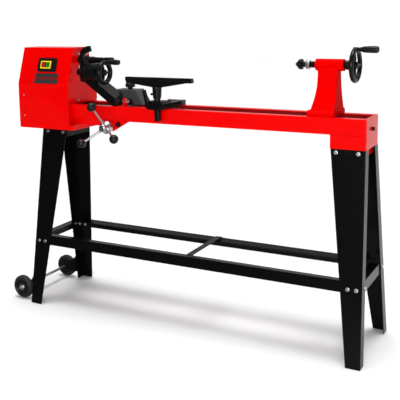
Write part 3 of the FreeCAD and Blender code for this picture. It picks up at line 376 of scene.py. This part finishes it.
for name in ("cabinet_shell", "cabinet_side_right", "cabinet_side_left", "base_tray"):
    softened(name, 0.5, 1.6)
for name in ("bed_rail_front", "bed_rail_rear"):
    rail = softened(name, 0.7, 2.4)
    # The rails' inward-facing faces get the darker red: painted shade inside the bed.
    rail.data.materials.append(FINISH["red_painted_shade"])
    for face in rail.data.polygons:
        if face.normal.y * face.center.y < 0 and abs(face.normal.y) > 0.9:
            face.material_index = 1
for name in ("bed_end_cap", "bed_fittings", "leg_block_right", "leg_block_left", "stretcher_middle",
             "wheel_brackets", "drive_belt"):
    softened(name, 0.7)
for name in ("leg_front_left", "leg_front_right", "leg_rear_left", "leg_rear_right", "stretcher_front",
             "stretcher_rear", "stretcher_left", "stretcher_right"):
    softened(name, 0.7, 1.8)
for name in ("headstock_housing", "feed_arm", "feed_barrel", "clamp_lever", "banjo", "feed_saddle"):
    softened(name, 2.0)
softened("tailstock_body", 0.8, 1.3, finish="red_casting")
softened("tool_rest", 1.2)
for name in ("banjo_lever", "rest_lever"):
    softened(name, 2.2)
switch_plate(8.0)
for name in ("switch_frame", "button_red", "button_green", "label_plate"):
    softened(name, 0.5)


def turned(name, profile, origin, finish, stands_for, axis=RIGHT, ease=0.8, steps=64):
    """One lathe-turned piece that stands for a CAD node and rides on its body."""
    bm = bmesh.new()
    lathe(bm, profile, origin, axis, ease, steps)
    return piece(name, bm, finish, nodes[stands_for]["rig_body"], (stands_for,))


# --- spindle, centres and quill -----------------------------------------------------------

def thread(start, end, radius, pitch, deep):
    """Profile points of a thread's crests and roots."""
    points = []
    for turn in range(int((end - start) / pitch)):
        along = start + turn * pitch
        points += [(along, radius), (along + pitch * 0.35, radius), (along + pitch * 0.5, radius - deep),
                   (along + pitch * 0.85, radius - deep)]
    return points


turned("spindle_finished",
       [(-232, 0), (-232, 12), (-172, 12), (-172, 15), (0, 15), (0, 20), (12, 20), (12, 14)]
       + thread(15, 60, 15, 2.5, 1.1) + [(62, 14), (62, 12.5), (100, 12.5), (100, 8.5), (60, 8.5), (60, 0)],
       at(0, 0, AXIS_Z), "black_iron", "spindle", ease=0.5)

bm = bmesh.new()
lathe(bm, [(62, 0), (62, 8.45), (100.5, 8.45), (100.5, 11), (110, 11.4), (112, 12.6), (135, 13), (150, 13),
           (150, 5), (152, 3.5), (168, 0)], at(0, 0, AXIS_Z))
for index in range(4):
    angle = math.radians(45 + 90 * index)
    spur = at(0, 8.6 * math.cos(angle), AXIS_Z + 8.6 * math.sin(angle))
    lathe(bm, [(149, 0), (149, 3.4), (156, 0.6), (156.5, 0)], spur, ease=0.2, steps=4)
piece("drive_centre_finished", bm, "black_iron", nodes["drive_centre"]["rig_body"], ("drive_centre",))

turned("live_centre_finished",
       [(934, 0), (936, 3.6), (949, 17), (951, 18.6), (955, 19), (956, 18.2), (957, 18.2), (958, 19),
        (961, 19), (963, 15), (964, 10), (974.5, 10), (974.5, 7.2), (1030, 6.6), (1030, 0)],
       at(0, 0, AXIS_Z), "black_iron", "live_centre", ease=0.9)

quill_body = nodes["tailstock_quill"]["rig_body"]
bm = bmesh.new()
lathe(bm, [(975, 7.4), (975, 11.4), (1088, 11.4), (1088, 7.4), (975, 7.4)], at(0, 0, AXIS_Z), ease=0.7)
piece("quill_tube", bm, "black_iron", quill_body, ("tailstock_quill",))
bm = bmesh.new()
lathe(bm, [(976, 11.4), (976, 16.4), (990, 16.4), (990, 11.4), (976, 11.4)], at(0, 0, AXIS_Z), ease=1.2,
      steps=96, lobes=32, depth=0.03, lobed_from=15)
piece("quill_collar", bm, "plated_steel", quill_body)


# --- handwheels and their cranks ------------------------------------------------------------

def handwheel(name, stands_for, x, y, z, radius, rim, hub, screw):
    """A dished wheel with an oval rim, three waisted spokes, a hub with its nut, and a crank boss."""
    bm = bmesh.new()
    centre = at(x, y, z)
    ring(bm, centre, RIGHT, radius - rim, rim * 1.05, rim)
    start, end = hub
    lathe(bm, [(start, 6), (start, 13), (start + 5, 13), (start + 5.5, 16.5), (start + 14, 16.5),
               (start + 15, 13), (end - 4, 13), (end, 11.5), (end, 4)], at(0, y, z), ease=0.8)
    hex_head(bm, at(end - 1, y, z), RIGHT, 8.5, 5)
    for index in range(3):
        angle = math.radians(index * 120 - 90)
        heading = Vector((0, -math.sin(angle), math.cos(angle)))
        path, sizes = [], []
        for step in range(9):
            t = step / 8
            bow = 5.0 * math.sin(math.pi * t) - (1 - t) * 5
            path.append(centre + (heading * (9 + (radius - rim - 10) * t) + RIGHT * bow) * MM)
            waist = 1 - 0.32 * math.sin(math.pi * t)
            sizes.append((rim * 0.6 * waist, rim * (0.95 - 0.15 * t) * waist))
        sweep(bm, path, sizes, RIGHT)
    pin = at(x, y, z + radius - rim)
    lathe(bm, [(-8, 0), (-8, 8.4), (9, 8.4), (11, 5.5), (11.5, 4), (69, 4), (70, 3), (70, 0)], pin, ease=1.2)
    lathe(bm, screw, at(0, y, z), ease=0.3)
    return piece(name, bm, "black_iron", nodes[stands_for]["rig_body"], (stands_for,), sharp=40)


handwheel("tail_handwheel", "tailstock_handwheel", 1153, 0, AXIS_Z, 62, 8.0, (1115, 1159),
          [(1050, 0), (1050, 6), (1116, 6), (1116, 0)])
handwheel("feed_handwheel_finished", "feed_handwheel", 150, -60, 968, 49, 9.5, (126.5, 156),
          [(87, 0), (87, 6), (127, 6), (127, 0)])


def grip(name, stands_for, x, y, z, points):
    turned(name, points, at(x, y, z), "black_plastic", stands_for, ease=5.0)


grip("tail_crank_grip", "tailstock_grip", 1153, 0, AXIS_Z + 54.5,
     [(12, 4.1), (12, 7), (18, 7.4), (30, 11), (56, 12.4), (74, 12.2), (80, 9.5), (80, 4.1), (12, 4.1)])
grip("feed_crank_grip", "feed_grip", 150, -60, 968 + 42.5,
     [(12, 4.1), (12, 7), (17, 7.2), (28, 9.6), (52, 10.9), (67, 10.7), (72, 8.5), (72, 4.1), (12, 4.1)])

bm = bmesh.new()
lathe(bm, [(-73, 0), (-73, 5), (1, 5), (1, 9), (7, 9.5), (8, 18), (11, 20.6), (22, 20.6), (27, 16), (28, 0)],
      at(209, 34, BED_TOP + 58), UP, ease=1.6, steps=84, lobes=7, depth=0.13, lobed_from=15)
piece("saddle_knob_finished", bm, "black_plastic", nodes["saddle_knob"]["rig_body"], ("saddle_knob",))
turned("rest_post_finished", [(0, 0), (0, 12.4), (124, 12.4), (124, 0)], at(413, -95, 792), "black_iron",
       "rest_post", axis=UP, ease=1.2)
turned("feed_ram_finished", [(22, 7), (22, 13.9), (102, 13.9), (102, 7), (22, 7)], at(0, -60, 968),
       "black_iron", "feed_quill", ease=1.5)

# --- capstan ----------------------------------------------------------------------------------

CAPSTAN = at(178, 0, 755)
BALL_RADIUS = 18
BALL_SWEEP = math.radians(153)
ball_profile = []
for index in range(17):
    angle = BALL_SWEEP * (1 - index / 16)
    ball_profile.append((BALL_RADIUS * math.cos(angle), BALL_RADIUS * math.sin(angle)))
bm = bmesh.new()
lathe(bm, [(-134, 0), (-134, 10), (-131, 14.5), (-115, 18.5), (-105, 25.4), (-102, 26), (-90, 26), (-86, 21),
           (-84, 20), (-80.5, 20), (-80.5, 8), (-48, 8), (-48, 0)], CAPSTAN, REAR, ease=2.5, steps=72)
knobs = bmesh.new()
for index in range(3):
    angle = math.radians(100 + 120 * index)
    out = Vector((math.cos(angle), 0, math.sin(angle)))
    root = CAPSTAN + (out * 12 + REAR * -112) * MM
    tip = CAPSTAN + (out * 90 + REAR * -174) * MM
    run = (tip - root).normalized()
    long = (tip - root).length / MM
    lathe(bm, [(0, 0), (6, 6.4), (16, 6.2), (19, 4.5), (long - 18, 4.5), (long - 16, 4.2), (long - 16, 0)],
          root, run, ease=1.5, steps=28)
    lathe(knobs, [(-15.9, 0), (-15.9, 7.6)] + ball_profile, tip, run, ease=0.0, steps=40)
piece("capstan_finished", bm, "plated_steel", nodes["capstan_hub"]["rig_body"], ("capstan_hub",))
piece("capstan_balls", knobs, "black_plastic", nodes["capstan_knobs"]["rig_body"], ("capstan_knobs",))

# --- transport wheels ----------------------------------------------------------------------------

for name, side in (("front", -1), ("rear", 1)):
    node = f"transport_wheel_{name}"
    centre = at(-240, side * 150, 50)
    bm = bmesh.new()
    lathe(bm, [(-12, 35), (-12, 41), (-6, 47.9), (-3.2, 47.9), (-2.6, 47), (-1.2, 47), (-0.6, 47.9),
               (0.6, 47.9), (1.2, 47), (2.6, 47), (3.2, 47.9), (6, 47.9), (12, 41), (12, 35), (-12, 35)],
          centre, REAR, ease=1.4, steps=96)
    piece(f"tyre_{name}", bm, "rubber", nodes[node]["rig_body"], (node,))
    bm = bmesh.new()
    lathe(bm, [(-12, 6.1), (-12, 14), (-7, 16), (-7, 31), (-11.4, 34.9), (11.4, 34.9), (7, 31), (7, 16),
               (12, 14), (12, 6.1), (-12, 6.1)], centre, REAR, ease=1.2, steps=72)
    for index in range(6):
        angle = math.radians(60 * index)
        heading = Vector((math.cos(angle), 0, math.sin(angle)))
        path = [centre + heading * r * MM for r in (13, 23, 33)]
        sweep(bm, path, [(2.2, 9.4), (1.8, 8.6), (2.4, 9.6)], REAR, sides=12)
    piece(f"wheel_hub_{name}", bm, "black_plastic", nodes[node]["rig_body"])

bm = bmesh.new()
lathe(bm, [(-173, 0), (-173, 5), (-172, 6), (172, 6), (173, 5), (173, 0)], at(-240, 0, 50), REAR, ease=0.4)
for side in (-1, 1):
    axis = REAR * side
    hex_head(bm, at(-240, side * 163, 50), axis, 10, 7)
    washer(bm, at(-240, side * 162.4, 50), axis, 12.5, 0.9)
piece("transport_axle", bm, "plated_steel", nodes["wheel_axle"]["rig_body"], ("wheel_axle",))

# --- motor, pulleys and bearings --------------------------------------------------------------------

bm = bmesh.new()
lathe(bm, [(-190, 7.2), (-190, 38), (-184, 49), (-170, 49.6), (-168, 47)], at(0, 0, 900), ease=2)
lathe(bm, [(-168, 40), (-168, 49.8), (-72, 49.8), (-72, 40)], at(0, 0, 900), ease=0.5, steps=288, lobes=36,
      depth=0.1, lobed_from=42)
lathe(bm, [(-72, 47), (-70, 49.6), (-56, 49), (-50, 40), (-50, 7.2)], at(0, 0, 900), ease=2)
block(bm, at(-175, -52, BED_TOP), at(-65, 52, BED_TOP + 12), 2)
for side in (-1, 1):
    block(bm, at(-165, side * 30 - 5, BED_TOP + 10), at(-75, side * 30 + 5, BED_TOP + 30), 1.5)
piece("motor_finished", bm, "motor_alloy", nodes["motor"]["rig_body"], ("motor",))


def sheave(bm, radius, bore, z):
    lathe(bm, [(-10, bore), (-10, radius + 6), (-7, radius + 6), (-3, radius - 2), (3, radius - 2),
               (7, radius + 6), (10, radius + 6), (10, bore), (-10, bore)], at(-215, 0, z), ease=0.7)


bm = bmesh.new()
sheave(bm, 30, 12.05, AXIS_Z)
piece("spindle_sheave", bm, "motor_alloy", nodes["spindle_pulley"]["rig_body"], ("spindle_pulley",))
bm = bmesh.new()
sheave(bm, 15, 7, 900)
lathe(bm, [(-228, 0), (-228, 6.4), (-227, 7), (-46, 7), (-46, 0)], at(0, 0, 900), ease=0.4)
piece("motor_rotor", bm, "motor_alloy", nodes["motor_pulley"]["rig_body"], ("motor_pulley",))
bm = bmesh.new()
for start in (-166, -24):
    lathe(bm, [(start, 15.1), (start, 18), (start + 1, 18.4), (start + 1, 22.6), (start, 23), (start, 25.9),
               (start + 15, 25.9), (start + 15, 23), (start + 14, 22.6), (start + 14, 18.4),
               (start + 15, 18), (start + 15, 15.1), (start, 15.1)], at(0, 0, AXIS_Z), ease=0.4)
piece("ball_races", bm, "steel", nodes["spindle_bearings"]["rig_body"], ("spindle_bearings",))


# --- bolts, screws and washers -------------------------------------------------------------------------

def islands(node):
    """The separate solids of a node, each as a list of its points."""
    bm = bmesh.new()
    bm.from_mesh(nodes[node].data)
    bmesh.ops.remove_doubles(bm, verts=bm.verts, dist=1e-6)
    bm.verts.index_update()
    seen, found = set(), []
    for start in bm.verts:
        if start.index in seen:
            continue
        seen.add(start.index)
        points, queue = [], [start]
        while queue:
            vert = queue.pop()
            points.append(vert.co.copy())
            for other in (edge.other_vert(vert) for edge in vert.link_edges):
                if other.index not in seen:
                    seen.add(other.index)
                    queue.append(other)
        found.append(points)
    bm.free()
    return found


def long_axis(points, guess):
    """Direction of a slender solid, by repeated multiplication with its scatter."""
    middle = sum(points, Vector()) / len(points)
    heading = Vector(guess)
    for _ in range(40):
        heading = sum(((p - middle) * (p - middle).dot(heading) for p in points), Vector()).normalized()
    return middle, heading


SCREW_SHARE = 0.7
HEAD_SHARE = 0.78


def fasteners(name, node):
    """Every bolt or screw of a node again, with chamfered corners, a washer and its nut."""
    bm = bmesh.new()
    for index, points in enumerate(islands(node)):
        middle, heading = long_axis(points, (0.5, 0.6, 0.62))
        steps = [(round((p - middle).dot(heading) / MM, 2), (p - middle)) for p in points]
        radial = [(t, (q - heading * q.dot(heading)).length / MM) for t, q in steps]
        first, last = min(t for t, _ in radial), max(t for t, _ in radial)
        at_first = max(r for t, r in radial if t < first + 0.3)
        at_last = max(r for t, r in radial if t > last - 0.3)
        if at_last > at_first:
            heading.negate()
            radial = [(-t, r) for t, r in radial]
            first, last = -last, -first
        radius = max(at_first, at_last)
        levels = sorted({round(t, 1) for t, r in radial if r > 0.85 * radius})
        seat = next(t for t in levels if t > first + 1.0)
        origin = middle + heading * seat * MM
        if radius < 5.5:
            tall = seat - first
            radius *= SCREW_SHARE
            lathe(bm, [(0, 2), (0, radius), (tall * 0.45, radius * 0.97), (tall * 0.85, radius * 0.7),
                       (tall, radius * 0.42), (tall * 0.6, radius * 0.3), (tall * 0.55, 0)], origin, -heading,
                  ease=0.5, steps=32)
            continue
        shank = max(r for t, r in radial if t > last - 0.3)
        radius *= HEAD_SHARE
        hex_head(bm, origin, -heading, radius, seat - first, 17 * index)
        washer(bm, origin, -heading, radius * 1.15, 0.8)
        end = last - seat - 0.3
        lathe(bm, [(0, shank), (end - 0.8, shank), (end, shank - 0.8), (end, 0)], origin, heading, ease=0.2,
              steps=24)
        if len(levels) > 3:
            hex_head(bm, middle + heading * levels[-2] * MM, heading, radius, levels[-1] - levels[-2],
                     31 * index)
    piece(name, bm, slots[node], nodes[node]["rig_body"], (node,))


fasteners("plated_bolts", "plated_fasteners")
fasteners("black_bolts_finished", "black_bolts")

for name, obj in nodes.items():
    if not obj.hide_render:
        obj.data.materials.clear()
        obj.data.materials.append(FINISH[slots[name]])

# --- stage, light and camera ----------------------------------------------------------

def floor_painted_reflection(material):
    """Painted reflection: the floor's colour for glossy rays only, painted dark at the front left and pale at
    the rear right.
    """
    tree = material.node_tree
    colour = tree.nodes["Principled BSDF"].inputs["Base Color"]
    spot = tree.nodes.new("ShaderNodeTexCoord")
    apart = tree.nodes.new("ShaderNodeSeparateXYZ")
    across = tree.nodes.new("ShaderNodeMath")
    painted_reflection_tone = tree.nodes.new("ShaderNodeMapRange")
    painted_reflection_tone.inputs["From Min"].default_value = -1.5
    painted_reflection_tone.inputs["From Max"].default_value = 1.5
    painted_reflection_tone.inputs["To Min"].default_value = 0.05
    painted_reflection_tone.inputs["To Max"].default_value = 0.9
    rays = tree.nodes.new("ShaderNodeLightPath")
    chosen = tree.nodes.new("ShaderNodeMix")
    chosen.data_type = "RGBA"
    tree.links.new(colour.links[0].from_socket, chosen.inputs[6])
    wire(tree, spot, "Object", apart, "Vector")
    wire(tree, apart, "X", across, 0)
    wire(tree, apart, "Y", across, 1)
    wire(tree, across, 0, painted_reflection_tone, "Value")
    wire(tree, rays, "Is Glossy Ray", chosen, "Factor")
    wire(tree, painted_reflection_tone, "Result", chosen, 7)
    tree.links.new(chosen.outputs[2], colour)


def studio_floor(reach):
    """A pale floor, reaching that many metres each way, which glossy paint mirrors with a painted reflection
    tone.
    """
    mesh = bpy.data.meshes.new("floor")
    corners = [(-reach, -reach, 0), (reach, -reach, 0), (reach, reach, 0), (-reach, reach, 0)]
    mesh.from_pydata(corners, [], [(0, 1, 2, 3)])
    floor = bpy.data.objects.new("floor", mesh)
    pale = finish_of("floor", (0.78, 0.78, 0.78), (0.55, 0.6), specular=0.3, mottle=0.004, patch=2,
                     grain=60, relief=0.02)
    # Glossy rays see the floor's painted reflection tone; the camera sees its own pale colour.
    floor_painted_reflection(pale)
    mesh.materials.append(pale)
    bpy.context.scene.collection.objects.link(floor)


def studio_world():
    """A white backdrop whose light is dim from the front and bright from the rear."""
    world = bpy.data.worlds.new("studio")
    bpy.context.scene.world = world
    world.use_nodes = True
    sky = world.node_tree
    heading = sky.nodes.new("ShaderNodeTexCoord")
    parts = sky.nodes.new("ShaderNodeSeparateXYZ")
    shade = sky.nodes.new("ShaderNodeValToRGB")
    spread = sky.nodes.new("ShaderNodeMapRange")
    spread.inputs["From Min"].default_value = -0.8
    spread.inputs["From Max"].default_value = 0.5
    shade.color_ramp.elements[0].color = (0.03, 0.03, 0.03, 1)
    shade.color_ramp.elements[1].color = (0.52, 0.52, 0.52, 1)
    wire(sky, heading, "Generated", parts, "Vector")
    wire(sky, parts, "Y", spread, "Value")
    wire(sky, spread, "Result", shade, "Fac")
    rays = sky.nodes.new("ShaderNodeLightPath")
    backdrop = sky.nodes.new("ShaderNodeMix")
    backdrop.data_type = "RGBA"
    backdrop.inputs[7].default_value = (1.05, 1.05, 1.05, 1)
    wire(sky, rays, "Is Camera Ray", backdrop, "Factor")
    wire(sky, shade, "Color", backdrop, 6)
    wire(sky, backdrop, 2, sky.nodes["Background"], "Color")


def lamp_of(name, kind, watts):
    """A lamp in the scene, with its data still to be set."""
    data = bpy.data.lights.new(name, kind)
    data.energy = watts
    lamp = bpy.data.objects.new(name, data)
    bpy.context.scene.collection.objects.link(lamp)
    return lamp


studio_floor(14.0)
studio_world()

key = lamp_of("key", "AREA", 140)
key.data.shape = "RECTANGLE"
key.data.size = 2.2
key.data.size_y = 1.4
key.location = (1.5, -4.2, 1.5)
key.rotation_euler = (Vector((0, 0, 0.7)) - key.location).to_track_quat("-Z", "Y").to_euler()

overhead = lamp_of("overhead", "SUN", 3.3)
overhead.data.angle = math.radians(36)

camera_data = bpy.data.cameras.new("camera")
camera_data.sensor_width = 36
camera_data.lens = 67.69
camera_data.shift_y = -0.22
camera = bpy.data.objects.new("camera", camera_data)
camera.location = (1.4052, -2.537, 1.2015)
heading, tilt, roll = 27.72, 7.55, -0.86
camera.rotation_euler = (Matrix.Rotation(math.radians(heading), 3, "Z")
                         @ Matrix.Rotation(math.radians(90 - tilt), 3, "X")
                         @ Matrix.Rotation(math.radians(roll), 3, "Z")).to_euler()
bpy.context.scene.collection.objects.link(camera)
bpy.context.scene.camera = camera
bpy.context.scene.view_settings.view_transform = "Standard"
